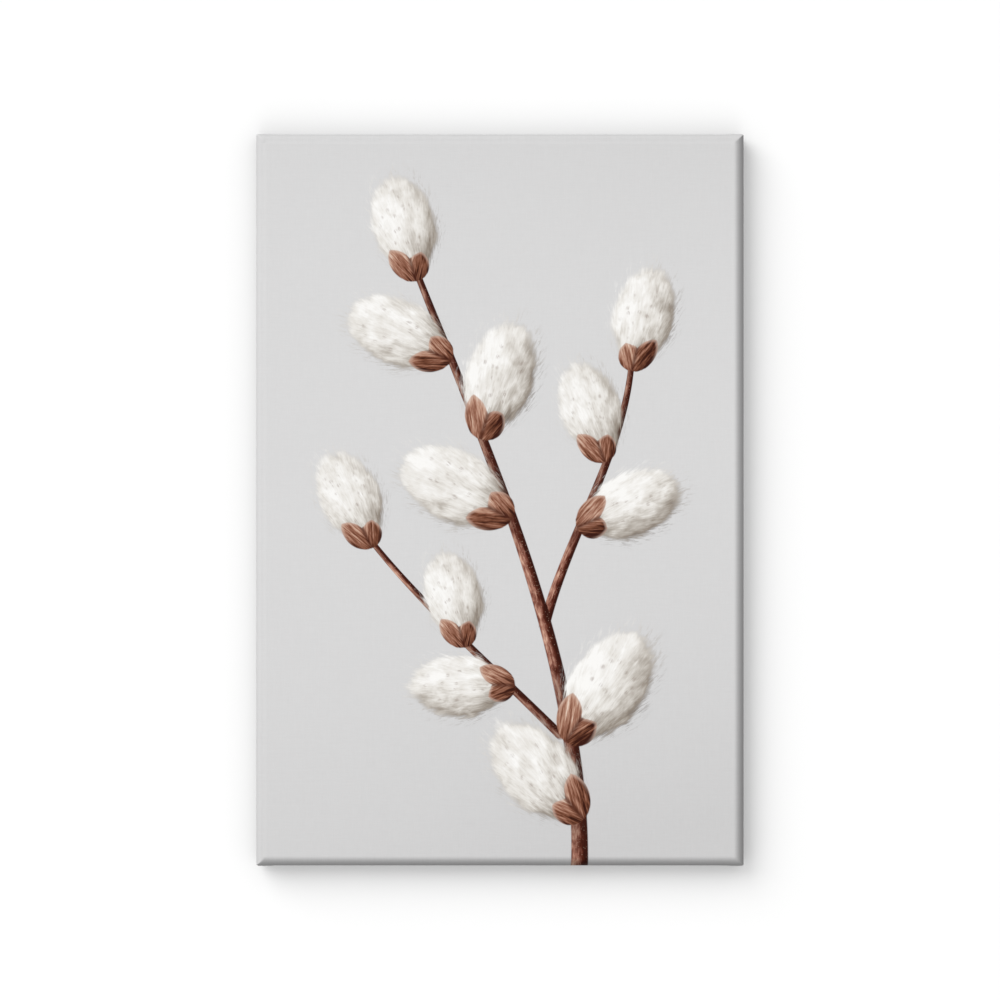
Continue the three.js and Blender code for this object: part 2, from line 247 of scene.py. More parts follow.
def eased_copy(node, ease, least_edge, eased_at=lambda middle: True):
    """A copy of a piece's mesh that stands for it, with its edges rounded where they are long enough and
    where eased_at says so of their middles."""
    work = bmesh.new()
    work.from_mesh(nodes[node].data)
    bmesh.ops.remove_doubles(work, verts=work.verts, dist=SAME_PLACE)
    bmesh.ops.dissolve_limit(work, angle_limit=SAME_PLANE, verts=work.verts, edges=work.edges)
    sharp = [
        edge
        for edge in work.edges
        if edge.is_manifold
        and edge.calc_face_angle() > EASED_ABOVE
        and edge.calc_length() > least_edge
        and eased_at((edge.verts[0].co + edge.verts[1].co) / 2)
    ]
    bmesh.ops.bevel(
        work,
        geom=sharp,
        offset=ease,
        segments=3,
        profile=0.5,
        affect="EDGES",
        loop_slide=False,
        face_strength_mode="ALL",
    )
    many_sided = [face for face in work.faces if len(face.verts) > 4]
    bmesh.ops.triangulate(work, faces=many_sided, ngon_method="EAR_CLIP")
    mesh = mesh_of(work, node + "_eased")
    # Stored normals belong to the mesh as it was before its edges were rounded.
    if "custom_normal" in mesh.attributes:
        mesh.attributes.remove(mesh.attributes["custom_normal"])
    piece = put(node + "_eased", mesh, node)
    flatten = piece.modifiers.new("planed_faces_stay_flat", "WEIGHTED_NORMAL")
    flatten.keep_sharp = flatten.use_face_influence = True
    return piece


BAR_EASE = 0.9 * MM
BAR_LEAST_EDGE = 60 * MM
BAR_KNOTS = {
    "bar_top": [(-0.117, 0.018, 5.5 * MM)],
    "bar_bottom": [(0.066, -0.538, 4.2 * MM)],
    "bar_left": [(-0.385, -0.176, 4.6 * MM)],
    "bar_right": [(-0.155, 0.174, 6.0 * MM), (-0.47, 0.164, 3.4 * MM)],
}
opening_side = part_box("bar_right")[0].x + BAR_EASE
opening_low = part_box("bar_bottom")[1].z - BAR_EASE
opening_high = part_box("bar_top")[0].z + BAR_EASE
bar_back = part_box("bar_top")[1].y - BAR_EASE


def round_the_opening(place):
    """Whether a place is on the bars' back edges round the opening, the only long ones not under cloth."""
    in_opening = abs(place.x) < opening_side and opening_low < place.z < opening_high
    return place.y > bar_back and in_opening


for seed, (node, knots) in enumerate(BAR_KNOTS.items()):
    upright = node in ("bar_left", "bar_right")
    bar = eased_copy(node, BAR_EASE, BAR_LEAST_EDGE, round_the_opening)
    bar.data.materials.append(pine(node + "_pine", upright, seed * 1.7 + 0.4, knots))

# ---------------------------------------------------------------------------------------------------------
# Corner wedges. Eight sawn beech keys, two to a corner at two depths, pushed into the bars' slots by hand
# and tapped in, so that they spread the mitres and tighten the cloth.

WEDGE_EASE = 0.25 * MM
WEDGE_LEAST_EDGE = 1.5 * MM


def beech(name, upright):
    """Sawn beech: pinkish brown with short dark flecks along the grain."""
    material, start = finish_named(name, Specular_IOR_Level=0.25)
    x, y, z = start.node("TexCoord", output="Object").parts()
    along, across = (z, x) if upright else (x, z)
    tone = start.vec(along * 20.0, across * 90.0, y * 90.0).noise(1.0, 2.0)
    fleck_place = start.vec(along * 700.0, across * 4200.0, y * 4200.0)
    flecks = fleck_place.noise(1.0, 0.0).step(0.60, 0.78)
    saw = start.vec(along * 700.0, across * 30.0, y * 30.0).noise(1.0, 1.0)
    colour = (tone + (saw - 0.5) * 0.3).ramp(
        (0.3, (0.66, 0.44, 0.25)),
        (0.7, (0.53, 0.315, 0.16)),
    )
    colour = (flecks * 0.42).blend(colour, (0.33, 0.165, 0.075, 1.0))
    relief = saw * 0.7 + tone * 0.3 - flecks * 0.15
    start.paint(Base_Color=colour, Roughness=0.62 + (saw - 0.5) * 0.2, Normal=relief.bump(0.0001, 0.7))
    return material


beech_across = beech("beech_across", upright=False)
beech_upright = beech("beech_upright", upright=True)
for node in sorted(name for name in nodes if name.startswith("wedge_")):
    wedge = eased_copy(node, WEDGE_EASE, WEDGE_LEAST_EDGE)
    wedge.data.materials.append(beech_upright if node.endswith("upright") else beech_across)

# ---------------------------------------------------------------------------------------------------------
# Canvas. One woven cloth with a white coat that takes ink, printed on the front and over the sides.
# It is drawn over the bars' lips, pleated at the corners, turned over behind, stapled and cut by hand.

CLOTH_THICKNESS = 0.5 * MM
FRONT_RADIUS = 8.5 * MM
REAR_RADIUS = 1.8 * MM
CORNER_RADIUS = 0.9 * MM
MARGIN = 25 * MM
OVER_THE_BACK = 0.9 * MM
PLEAT_LIFT = 0.4 * MM
PLEAT_EDGE = 0.45 * MM
PLEAT_TUCK = 0.3 * MM
PLEAT_SLOPE = 1.5 * MM
PLEAT_RISE = 14 * MM
MARGIN_LIFT = 0.27 * MM
MARGIN_PUFF = 0.32 * MM
MARGIN_RIPPLES = 38
LOOSE_AFTER = 6 * MM
STAPLE_REACH = 6 * MM
CUT_STRAY = 0.45 * MM
CUT_WAVES = 120
CURL = 0.35 * MM
CURL_WAVES = 60
COLUMN = 5 * MM

cloth_low, cloth_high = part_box("canvas")
cloth_middle = (cloth_low + cloth_high) / 2
half_width = (cloth_high.x - cloth_low.x) / 2
half_height = (cloth_high.z - cloth_low.z) / 2
face_y = cloth_low.y
margin_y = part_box("bar_top")[1].y + OVER_THE_BACK
staple_nodes = sorted(name for name in nodes if name.startswith("staple_"))
staple_places = []
for node in staple_nodes:
    low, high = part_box(node)
    staple_places.append(((low.x + high.x) / 2, (low.z + high.z) / 2))


def cloth_rows():
    """Rows from the flat of the front to the raw edge: how far each is drawn in from the sides, its y, its
    outward lean as (sideways, y), and the length of cloth from the flat of the front."""
    rows = []
    arc_steps = 10
    for step in range(arc_steps + 1):
        angle = math.pi / 2 * step / arc_steps
        drawn = FRONT_RADIUS * (1 - math.sin(angle))
        y = face_y + FRONT_RADIUS * (1 - math.cos(angle))
        rows.append((drawn, y, (math.sin(angle), -math.cos(angle)), FRONT_RADIUS * angle))
    cloth = FRONT_RADIUS * math.pi / 2
    side = margin_y - REAR_RADIUS - (face_y + FRONT_RADIUS)
    side_steps = 5
    for step in range(1, side_steps + 1):
        run = side * step / side_steps
        rows.append((0.0, face_y + FRONT_RADIUS + run, (1.0, 0.0), cloth + run))
    cloth += side
    turn_steps = 4
    for step in range(1, turn_steps + 1):
        angle = math.pi / 2 * step / turn_steps
        drawn = REAR_RADIUS * (1 - math.cos(angle))
        y = margin_y - REAR_RADIUS * (1 - math.sin(angle))
        rows.append((drawn, y, (math.cos(angle), math.sin(angle)), cloth + REAR_RADIUS * angle))
    cloth += REAR_RADIUS * math.pi / 2
    run_over = MARGIN - REAR_RADIUS
    margin_steps = 11
    for step in range(1, margin_steps + 1):
        run = run_over * step / margin_steps
        rows.append((REAR_RADIUS + run, margin_y, (0.0, 1.0), cloth + run))
    return rows


def columns(half_length):
    """Places along one side from -1 to 1, close together at the pleats."""
    close = [0.0, 0.45, 0.9, 1.8, 3.2, 5.5, 8.5, 12.5, 17.0]
    ends = [half_length - distance * MM for distance in close]
    count = round(2 * ends[-1] / COLUMN)
    middle = [ends[-1] * (2 * i / count - 1) for i in range(1, count)]
    places = [-end for end in ends] + middle + list(reversed(ends))
    return [place / half_length for place in places]


def pressed(x, z):
    """How far a staple holds the cloth down here, from 0 to 1."""
    nearest = min(math.hypot(x - sx, z - sz) for sx, sz in staple_places)
    return math.exp(-((nearest / STAPLE_REACH) ** 2))


across_columns = columns(half_width - CORNER_RADIUS)
upright_columns = columns(half_height - CORNER_RADIUS)
rows = cloth_rows()
print_end = rows[-1][3] - MARGIN + REAR_RADIUS
sheet_half_width = half_width - FRONT_RADIUS
sheet_half_height = half_height - FRONT_RADIUS
sheet_reach = rows[-1][3]


def cloth_ring(drawn, y, lean, cloth, is_raw_edge):
    """One row right round the picture: (position, place on the flat sheet) of each point."""
    arc_segments = 4
    radius = max(CORNER_RADIUS - drawn, 0.0) if y < cloth_middle.y else CORNER_RADIUS
    reach_x = half_width - drawn - radius
    reach_z = half_height - drawn - radius
    is_margin = lean[1] > 0.99
    loose = min((drawn - REAR_RADIUS) / LOOSE_AFTER, 1.0)
    points = []
    sides = (
        ((1, 0), upright_columns, (0, 1)),
        ((0, 1), across_columns, (-1, 0)),
        ((-1, 0), upright_columns, (0, -1)),
        ((0, -1), across_columns, (1, 0)),
    )
    for (out_x, out_z), places, (run_x, run_z) in sides:
        pleated = out_z != 0
        reach = reach_x if pleated else reach_z
        for place in places:
            x = run_x * place * reach + out_x * (reach_x + radius)
            z = run_z * place * reach + out_z * (reach_z + radius)
            lift = 0.0
            if pleated:
                from_end = reach - abs(place) * reach
                under = min(max((cloth - from_end) / PLEAT_SLOPE, 0.0), 1.0)
                rise = min(cloth / PLEAT_RISE, 1.0)
                edge = min(max((from_end - PLEAT_TUCK) / PLEAT_EDGE, 0.0), 1.0)
                lift += PLEAT_LIFT * under * rise * edge
            if is_margin:
                ripple = noise.noise(Vector((x * MARGIN_RIPPLES, z * MARGIN_RIPPLES, 2.0)))
                at_staple = pressed(x, z + cloth_middle.z)
                puff = MARGIN_PUFF * (1 - at_staple) * (1 + 0.7 * ripple)
                lift += loose * (MARGIN_LIFT + puff)
            stray = 0.0
            if is_raw_edge:
                stray = CUT_STRAY * noise.noise(Vector((x * CUT_WAVES, z * CUT_WAVES, 7.0)))
                lift += CURL * (0.5 + noise.noise(Vector((x * CURL_WAVES, z * CURL_WAVES, 11.0))))
            side_shift = lift * lean[0] + stray
            position = (x + out_x * side_shift, y + lift * lean[1], z + out_z * side_shift)
            flat = (
                run_x * place * reach + out_x * (sheet_half_width + cloth),
                run_z * place * reach + out_z * (sheet_half_height + cloth),
            )
            points.append((position, flat))
        corner_x = out_x * reach_x + run_x * reach_x
        corner_z = out_z * reach_z + run_z * reach_z
        lift = MARGIN_LIFT * loose if is_margin else 0.0
        first_flat = points[-1][1]
        next_flat = (
            run_x * (sheet_half_width + cloth) + out_x * reach_x,
            run_z * (sheet_half_height + cloth) + out_z * reach_z,
        )
        for segment in range(1, arc_segments):
            share = segment / arc_segments
            angle = math.pi / 2 * share
            toward_x = out_x * math.cos(angle) + run_x * math.sin(angle)
            toward_z = out_z * math.cos(angle) + run_z * math.sin(angle)
            position = (
                corner_x + toward_x * radius,
                y + lift * lean[1],
                corner_z + toward_z * radius,
            )
            flat = tuple(a + (b - a) * share for a, b in zip(first_flat, next_flat))
            points.append((position, flat))
    return points


def cloth_mesh():
    """The outer skin of the cloth, with each point's place on the flat sheet in two layers."""
    work = bmesh.new()
    sheet_s = work.verts.layers.float.new("sheet_s")
    sheet_t = work.verts.layers.float.new("sheet_t")

    def add(position, flat):
        vert = work.verts.new((position[0], position[1], position[2] + cloth_middle.z))
        vert[sheet_s], vert[sheet_t] = flat
        return vert

    rings = []
    for index, (drawn, y, lean, cloth) in enumerate(rows):
        ring = cloth_ring(drawn, y, lean, cloth, index == len(rows) - 1)
        rings.append([add(*point) for point in ring])
    for ahead, behind in zip(rings, rings[1:]):
        for i in range(len(ahead)):
            j = (i + 1) % len(ahead)
            work.faces.new((ahead[i], ahead[j], behind[j], behind[i]))
    grid = []
    for up in upright_columns:
        line = []
        for over in across_columns:
            flat = (over * sheet_half_width, up * sheet_half_height)
            line.append(add((flat[0], face_y, flat[1]), flat))
        grid.append(line)
    for low_line, high_line in zip(grid, grid[1:]):
        for i in range(len(low_line) - 1):
            work.faces.new((low_line[i], low_line[i + 1], high_line[i + 1], high_line[i]))
    bmesh.ops.remove_doubles(work, verts=work.verts, dist=2 * SAME_PLACE)
    bmesh.ops.recalc_face_normals(work, faces=work.faces)
    front_face = min(work.faces, key=lambda face: face.calc_center_median().y)
    if front_face.normal.y > 0:
        bmesh.ops.reverse_faces(work, faces=work.faces)
    flat_map = work.loops.layers.uv.new("flat")
    for face in work.faces:
        for loop in face.loops:
            loop[flat_map].uv = (loop.vert[sheet_s], loop.vert[sheet_t])
    return mesh_of(work, "canvas_cloth")


# The picture on the cloth is worked out in millimetres on the flat sheet, from the middle of the front:
# three catkin branches on a pale grey ground, which run on over the sides as a printed picture does. A
# branch runs through (height, sideways) points. Its catkins are (height, side, lean in degrees, size).
LIGHT = (-0.52, 0.50, 0.69)
CATKIN_LENGTH = 100.0
CATKIN_WIDTH = 61.0
ANGLE_CODE = 0.001
SCALE_FOOT = 1.05
SCALE_SPREAD = math.radians(25)
SCALE_BREADTH = 0.33
LIGHTEST_HEIGHT = 80.0
LIGHTEST_SIDE = -181.0
GROUND_LIGHT = (0.645, 0.642, 0.643)
GROUND_DARK = (0.570, 0.566, 0.567)
INK_WHITE = (0.83, 0.825, 0.81, 1.0)
PRINT_OVER_THE_BACK = 4.0
# How far painted shade darkens the print over the rounded turned edges, all round.
PAINTED_EDGE_SHADE = 0.17

BRANCHES = {
    "left": {
        "through": [(-196.0, 53.0), (-150.0, 6.0), (-95.0, -50.0), (-30.0, -108.0)],
        "radius": (3.8, 2.2),
        "catkins": [(-154.0, -1, 42, 0.86), (-118.0, 1, 30, 0.80), (-36.0, -1, -12, 0.84)],
    },
    "right": {
        "through": [(-104.0, 36.0), (-30.0, 62.0), (50.0, 94.0), (126.0, 108.0)],
        "radius": (4.4, 2.3),
        "catkins": [(-22.0, 1, 44, 0.90), (34.0, -1, 40, 0.84), (108.0, 1, 8, 0.86)],
    },
    "main": {
        "through": [(-345.0, 62.0), (-120.0, 42.0), (60.0, -18.0), (196.0, -72.0)],
        "radius": (7.4, 2.6),
        "catkins": [
            (-262.0, -1, 38, 1.02),
            (-198.0, 1, 42, 1.06),
            (-12.0, -1, 44, 1.00),
            (52.0, 1, 38, 0.98),
            (118.0, -1, 44, 0.92),
            (182.0, 1, 6, 0.88),
        ],
    },
}


def cubic(points):
    """The four coefficients, highest first, of the cubic x(t) through four (t, x) points."""
    coefficients = [0.0] * 4
    for here, (ti, xi) in enumerate(points):
        a, b, c = (t for other, (t, _) in enumerate(points) if other != here)
        weight = xi / ((ti - a) * (ti - b) * (ti - c))
        expanded = (1.0, -(a + b + c), a * b + b * c + c * a, -a * b * c)
        coefficients = [k + weight * e for k, e in zip(coefficients, expanded)]
    return coefficients


def curve_at(coefficients, t):
    """x and the slope dx/dt of a cubic, as numbers or inside a material."""
    a, b, c, d = coefficients
    return ((t * a + b) * t + c) * t + d, (t * (3 * a) + 2 * b) * t + c


def catkin_mappings():
    """(middle, angle, half length, half width) of each catkin, set on its branch at a side and a lean."""
    placed = []
    for branch in BRANCHES.values():
        line = cubic(branch["through"])
        first, last = branch["through"][0][0], branch["through"][-1][0]
        for t, side, lean, size in branch["catkins"]:
            x, slope = curve_at(line, t)
            share = (t - first) / (last - first)
            radius = branch["radius"][0] * (1 - share) + branch["radius"][1] * share
            angle = math.atan2(1.0, slope) - side * math.radians(lean)
            half_length = CATKIN_LENGTH / 2 * size
            foot = half_length * 0.97 + radius * 0.3
            middle = (x + math.cos(angle) * foot, t + math.sin(angle) * foot)
            placed.append((middle, angle, half_length, CATKIN_WIDTH / 2 * size))
    return placed


def nearest_catkin(start, s, t):
    """The catkin nearest to a place: the place along and across it, each -1 to 1 over the catkin, then its
    angle, and how far off it is, 1 at its edge."""
    point = start.vec(s, t)
    nearest = None
    for (middle_s, middle_t), angle, half_length, half_breadth in catkin_mappings():
        settings = {"vector_type": "TEXTURE"}
        inputs = {
            "Vector": point,
            "Location": (middle_s, middle_t, -angle * ANGLE_CODE),
            "Rotation": (0.0, 0.0, angle),
            "Scale": (half_length, half_breadth, 1.0),
        }
        local = start.node("Mapping", settings, inputs)
        distance = local.length()
        if nearest is None:
            nearest, least = local, distance
        else:
            nearest = (distance < least).choose(nearest, local)
            least = least.math("MINIMUM", distance)
    x, y, code = nearest.parts()
    return x, y, code * (1.0 / ANGLE_CODE), least


def catkin_fur(start, x, y, seed, light_x, light_y):
    """Hairs that spread from behind the foot of each catkin towards its tip: their colour, where they
    cover, and the tufts that they stand in."""
    egg_y = y / (1.0 + (x + 0.3).math("MINIMUM", 0.0) * 0.55)
    round_distance = start.vec(x, egg_y).length()
    from_foot = x + 1.45
    spread = y / (from_foot + 0.15)
    reach = start.vec(from_foot, y).length()
    tufts = start.vec(spread * 6.5, reach * 3.0, seed).noise(1.0, 2.0, 0.5, 0.4)
    hairs = start.vec(spread * 36.0, reach * 5.0, seed + 9.0).noise(1.0, 3.0, 0.62, 0.5)
    outline = 1.0 + (tufts - 0.5) * 0.20 + (hairs - 0.5) * 0.26
    body = (round_distance - outline).step(0.05, -0.13)
    stray = (hairs - 0.50).step(0.0, 0.16) * round_distance.step(1.34, 0.92)
    cover = body.math("MAXIMUM", stray * 0.55) * (x + (tufts - 0.5) * 0.2).step(-0.92, -0.78)
    height = (1.0 - round_distance * round_distance).math("MAXIMUM", 0.0).math("SQRT")
    facing = light_x * x * 0.55 + light_y * egg_y + height * LIGHT[2]
    deep = (x + 0.2).step(0.1, -0.9) * 0.22
    soft = facing * 0.55 + 0.37 + (tufts - 0.5) * 0.75 + (hairs - 0.5) * 0.40 - deep
    fur = soft.ramp(
        (0.00, (0.13, 0.10, 0.08)),
        (0.25, (0.30, 0.26, 0.22)),
        (0.48, (0.53, 0.495, 0.45)),
        (0.68, (0.74, 0.715, 0.675)),
        (0.92, (0.89, 0.88, 0.86)),
    )
    bract_place = start.vec(x * 6.0, egg_y * 4.0, seed)
    bract = bract_place.node("TexVoronoi", None, {"Vector": bract_place, "Scale": 1.0})
    bracts = bract.step(0.34, 0.10) * hairs.step(0.62, 0.40) * round_distance.step(0.95, 0.5)
    return (bracts * 0.42).blend(fur, (0.22, 0.15, 0.12, 1.0)), cover, tufts


def bud_scales(start, x, y, seed, light_x, light_y, tufts):
    """The two dry brown flaps that the catkin has split, one longer, still round its foot: their colour
    and where they cover."""
    askew = seed.math("SINE") * 0.14
    from_axis = y - askew
    aside = from_axis.math("ABSOLUTE")
    up = (x + SCALE_FOOT) * (CATKIN_LENGTH / CATKIN_WIDTH)
    along = up * math.cos(SCALE_SPREAD) + aside * math.sin(SCALE_SPREAD)
    across = aside * math.cos(SCALE_SPREAD) - up * math.sin(SCALE_SPREAD)
    longer = (from_axis * askew).step(-0.01, 0.01)
    flap_x = along / (longer * 0.17 + 0.46) - 1.0
    flap_y = across / SCALE_BREADTH
    flap = start.vec(flap_x * 1.414, flap_y.math("ABSOLUTE") + 0.5).length() / 1.5
    veins = start.vec(along * 1.6, across * 17.0, seed).noise(1.0, 3.0, 0.65)
    flap = flap + (tufts - 0.5) * 0.08
    light = light_y * from_axis * 0.75 + light_x * flap_x * 0.18 + 0.48
    light = light - flap_y * 0.16 + (veins - 0.5) * 1.35 + (tufts - 0.5) * 0.35
    colour = light.ramp(
        (0.20, (0.036, 0.007, 0.003)),
        (0.40, (0.160, 0.055, 0.028)),
        (0.56, (0.305, 0.138, 0.090)),
        (0.74, (0.500, 0.295, 0.212)),
        (0.94, (0.73, 0.57, 0.47)),
    )
    dry_rim = flap.step(0.80, 0.97) * flap_x.step(-0.2, 0.7) * 0.6
    colour = dry_rim.blend(colour, (0.56, 0.40, 0.33, 1.0))
    between = aside.step(0.10, 0.0) * 0.7
    return between.blend(colour, (0.050, 0.009, 0.004, 1.0)), flap.step(1.02, 0.95)


def branch_bark(start, s, t):
    """Bark of the branches, each a cubic line with a radius, painted from the smallest to the main one: its
    colour and where it covers."""
    across = None
    for branch in BRANCHES.values():
        line = cubic(branch["through"])
        first, last = branch["through"][0][0], branch["through"][-1][0]
        centre, slope = curve_at(line, t)
        thin = (branch["radius"][1] - branch["radius"][0]) / (last - first)
        radius = t * thin + (branch["radius"][0] - thin * first)
        offset = (s - centre) / ((slope * slope + 1.0).math("SQRT") * radius)
        within = offset.math("ABSOLUTE").step(1.08, 0.92)
        within = within * (t - last).step(2.0, -2.0) * (t - first).step(-1.0, 2.0)
        here = start.vec(offset, 0.0)
        if across is None:
            across = here
            cover = within
        else:
            across = within.math("GREATER_THAN", 0.02).choose(across, here)
            cover = cover.math("MAXIMUM", within)
    offset = across.parts()[0]
    streaks = start.vec(offset * 2.4, t * 0.09, s * 0.01).noise(1.0, 3.0, 0.65)
    knobs = start.vec(s * 0.11, t * 0.11, 3.0).noise(1.0, 1.0)
    turned = (1.0 - offset * offset).math("MAXIMUM", 0.0).math("SQRT")
    light = turned * 0.50 - offset * 0.46 + 0.06 + (streaks - 0.5) * 0.95 + (knobs - 0.5) * 0.45
    bark = light.ramp(
        (0.22, (0.032, 0.005, 0.002)),
        (0.44, (0.076, 0.014, 0.006)),
        (0.58, (0.182, 0.062, 0.042)),
        (0.71, (0.375, 0.175, 0.124)),
        (0.86, (0.63, 0.39, 0.29)),
    )
    pore_place = start.vec(s * 0.55, t * 0.55, 1.0)
    pores = pore_place.node("TexVoronoi", None, {"Vector": pore_place, "Scale": 1.0}).step(0.26, 0.12)
    return (pores * turned * 0.5).blend(bark, (0.50, 0.34, 0.25, 1.0)), cover


def pale_ground(start, s, t):
    """A plain pale wall out of focus, lightest a little above the middle and towards the left."""
    cloud = start.vec(s * 0.004, t * 0.004, 1.0).noise(1.0, 1.0)
    away = (t - LIGHTEST_HEIGHT) * 0.01
    rightwards = s - LIGHTEST_SIDE
    dim = away * away * (rightwards * 0.00009 + 0.045) + rightwards * 0.00025 - 0.03
    return (dim + (cloud - 0.5) * 0.25).ramp((0.0, GROUND_LIGHT), (1.0, GROUND_DARK))


def print_colour(start, s, t):
    """The printed picture at a place on the flat sheet, in millimetres."""
    x, y, angle, distance = nearest_catkin(start, s, t)
    seed = angle * 7.3
    light_x = angle.math("COSINE") * LIGHT[0] + angle.math("SINE") * LIGHT[1]
    light_y = angle.math("COSINE") * LIGHT[1] - angle.math("SINE") * LIGHT[0]
    fur, fur_cover, tufts = catkin_fur(start, x, y, seed, light_x, light_y)
    scales, scale_cover = bud_scales(start, x, y, seed, light_x, light_y, tufts)
    bark, bark_cover = branch_bark(start, s, t)
    shade = distance.step(1.7, 1.0) * 0.5
    bark = shade.blend(bark, (0.040, 0.008, 0.004, 1.0))
    picture = bark_cover.blend(pale_ground(start, s, t), bark)
    return (scale_cover * 0.999).blend(fur_cover.blend(picture, fur), scales)


def weave(start, s, t):
    """Height of the woven threads, from 0 to 1, with the thick and thin places of real yarn."""
    warp = start.vec(s * 1.15, t * 0.10, 4.0).noise(1.0, 2.0, 0.6)
    weft = start.vec(s * 0.10, t * 1.15, 8.0).noise(1.0, 2.0, 0.6)
    slub_warp = start.vec(s * 0.45, t * 0.022, 5.0).noise(1.0, 1.0)
    slub_weft = start.vec(s * 0.022, t * 0.45, 6.0).noise(1.0, 1.0)
    return (warp + weft) * 0.36 + (slub_warp + slub_weft) * 0.14


def printed_cloth():
    """Coated and printed cloth: matt ink on the weave, painted shade darkening the print over the turned
    edges, and plain white coat past the printed part.
    """
    material, start = finish_named("printed_canvas", Specular_IOR_Level=0.06)
    flat = start.node("UVMap", {"uv_map": "flat"}).scaled(1 / MM)
    s, t, _ = flat.parts()
    threads = weave(start, s, t)
    past_s = (s.math("ABSOLUTE") - sheet_half_width / MM).math("MAXIMUM", 0.0)
    past_t = (t.math("ABSOLUTE") - sheet_half_height / MM).math("MAXIMUM", 0.0)
    past_print = past_s.math("MAXIMUM", past_t) - (print_end / MM + PRINT_OVER_THE_BACK)
    unprinted = past_print.step(-0.15, 0.15)
    # Painted shade: the print is darkened towards black over the rounded turned edges, standing in for the
    # shade that falls there.
    turned = (past_s + past_t).step(-1.0, 4.0) * PAINTED_EDGE_SHADE
    picture = turned.blend(print_colour(start, s, t), (0.0, 0.0, 0.0, 1.0))
    thread_tone = (threads - 0.5) * 0.35 + 0.5
    inked = picture.node(
        "Mix",
        {"data_type": "RGBA", "blend_type": "OVERLAY"},
        {0: 0.35, 6: picture, 7: thread_tone},
        2,
    )
    colour = unprinted.blend(inked, INK_WHITE)
    rough = 0.62 + (threads - 0.5) * 0.3
    start.paint(Base_Color=colour, Roughness=rough, Normal=threads.bump(0.00022, 0.55))
    return material


def raw_cloth():
    """The uncoated back of the cloth: warm off-white yarn with a few darker slubs."""
    material, start = finish_named("raw_canvas", Specular_IOR_Level=0.15)
    flat = start.node("UVMap", {"uv_map": "flat"}).scaled(1 / MM)
    s, t, _ = flat.parts()
    threads = weave(start, s, t)
    warp_specks = start.vec(s * 1.6, t * 0.22, 12.0).noise(1.0, 0.0).step(0.76, 0.86)
    weft_specks = start.vec(s * 0.20, t * 1.6, 15.0).noise(1.0, 0.0).step(0.78, 0.88)
    tone = threads * 1.1 - 0.05 + (start.vec(s * 0.012, t * 0.012, 9.0).noise(1.0, 2.0) - 0.5) * 0.25
    colour = tone.ramp((0.2, (0.585, 0.545, 0.465)), (0.8, (0.80, 0.775, 0.71)))
    colour = ((warp_specks + weft_specks) * 0.42).blend(colour, (0.40, 0.31, 0.20, 1.0))
    start.paint(Base_Color=colour, Roughness=0.8 + threads * 0.15, Normal=threads.bump(0.0003, 0.8))
    return material


def thickened(mesh):
    """The skin given its thickness inwards: outer faces 0, inner faces 1, raw edge 2."""
    skin = bpy.data.objects.new("canvas_skin", mesh)
    scene.collection.objects.link(skin)
    solidify = skin.modifiers.new("thickness", "SOLIDIFY")
    solidify.thickness = CLOTH_THICKNESS
    solidify.offset = -1.0
    solidify.use_even_offset = True
    solidify.thickness_clamp = 0.8
    solidify.material_offset = 1
    solidify.material_offset_rim = 2
    evaluated = skin.evaluated_get(bpy.context.evaluated_depsgraph_get())
    solid = bpy.data.meshes.new_from_object(evaluated)
    bpy.data.objects.remove(skin)
    return solid


def lay_out_bake(mesh, skin_points):
    """A second map with every face in a place of its own: the outer skin large, the inner one beside it."""
    flat_map = mesh.uv_layers["flat"]
    bake_map = mesh.uv_layers.new(name="OFBake")
    outer_scale, outer_corner = 1 / 0.70, (0.006, 0.006)
    inner_scale, inner_corner = 0.56, (0.715, 0.01)
    edge_width = 2 * MM
    reach_s = sheet_half_width + sheet_reach
    reach_t = sheet_half_height + sheet_reach
    for polygon in mesh.polygons:
        for index in polygon.loop_indices:
            s, t = flat_map.data[index].uv
            if polygon.material_index == 2 and mesh.loops[index].vertex_index >= skin_points:
                s += math.copysign(edge_width, s) * (abs(s) > sheet_half_width + 0.5 * sheet_reach)
                t += math.copysign(edge_width, t) * (abs(t) > sheet_half_height + 0.5 * sheet_reach)
            is_inner = polygon.material_index == 1
            scale, (left, low) = (inner_scale, inner_corner) if is_inner else (outer_scale, outer_corner)
            bake_map.data[index].uv = (left + (s + reach_s) * scale, low + (t + reach_t) * scale)
    mesh.uv_layers.active = flat_map


skin = cloth_mesh()
skin_points = len(skin.vertices)
raw = raw_cloth()
for material in (printed_cloth(), raw, raw):
    skin.materials.append(material)
cloth_solid = thickened(skin)
lay_out_bake(cloth_solid, skin_points)
canvas = put("canvas_cloth", cloth_solid, "canvas")
2 * (sheet_half_width + sheet_reach)
2 * (sheet_half_height + sheet_reach)

# ---------------------------------------------------------------------------------------------------------
# Staples. Flat galvanised wire shot through the turned-over cloth into the bars, one every few centimetres
# and one across each corner pleat.

WIRE_WIDTH = 1.05 * MM
WIRE_THICKNESS = 0.7 * MM
WIRE_EASE = 0.2 * MM
STAPLE_BEND = 0.75 * MM


def galvanised():
    """Dull zinc on steel wire, with fine marks from drawing it flat."""
    material, start = finish_named("galvanised_wire", Metallic=1.0)
    place = start.node("TexCoord", output="Object")
    dull = place.noise(900.0, 3.0)
    streak = place.vector("MULTIPLY", (300.0, 300.0, 4000.0)).noise(1.0, 1.0)
    colour = dull.ramp((0.3, (0.50, 0.51, 0.53)), (0.7, (0.70, 0.71, 0.73)))
    start.paint(
        Base_Color=colour,
        Roughness=0.26 + dull * 0.22,
        Normal=streak.bump(0.00003, 0.5),
    )
    return material


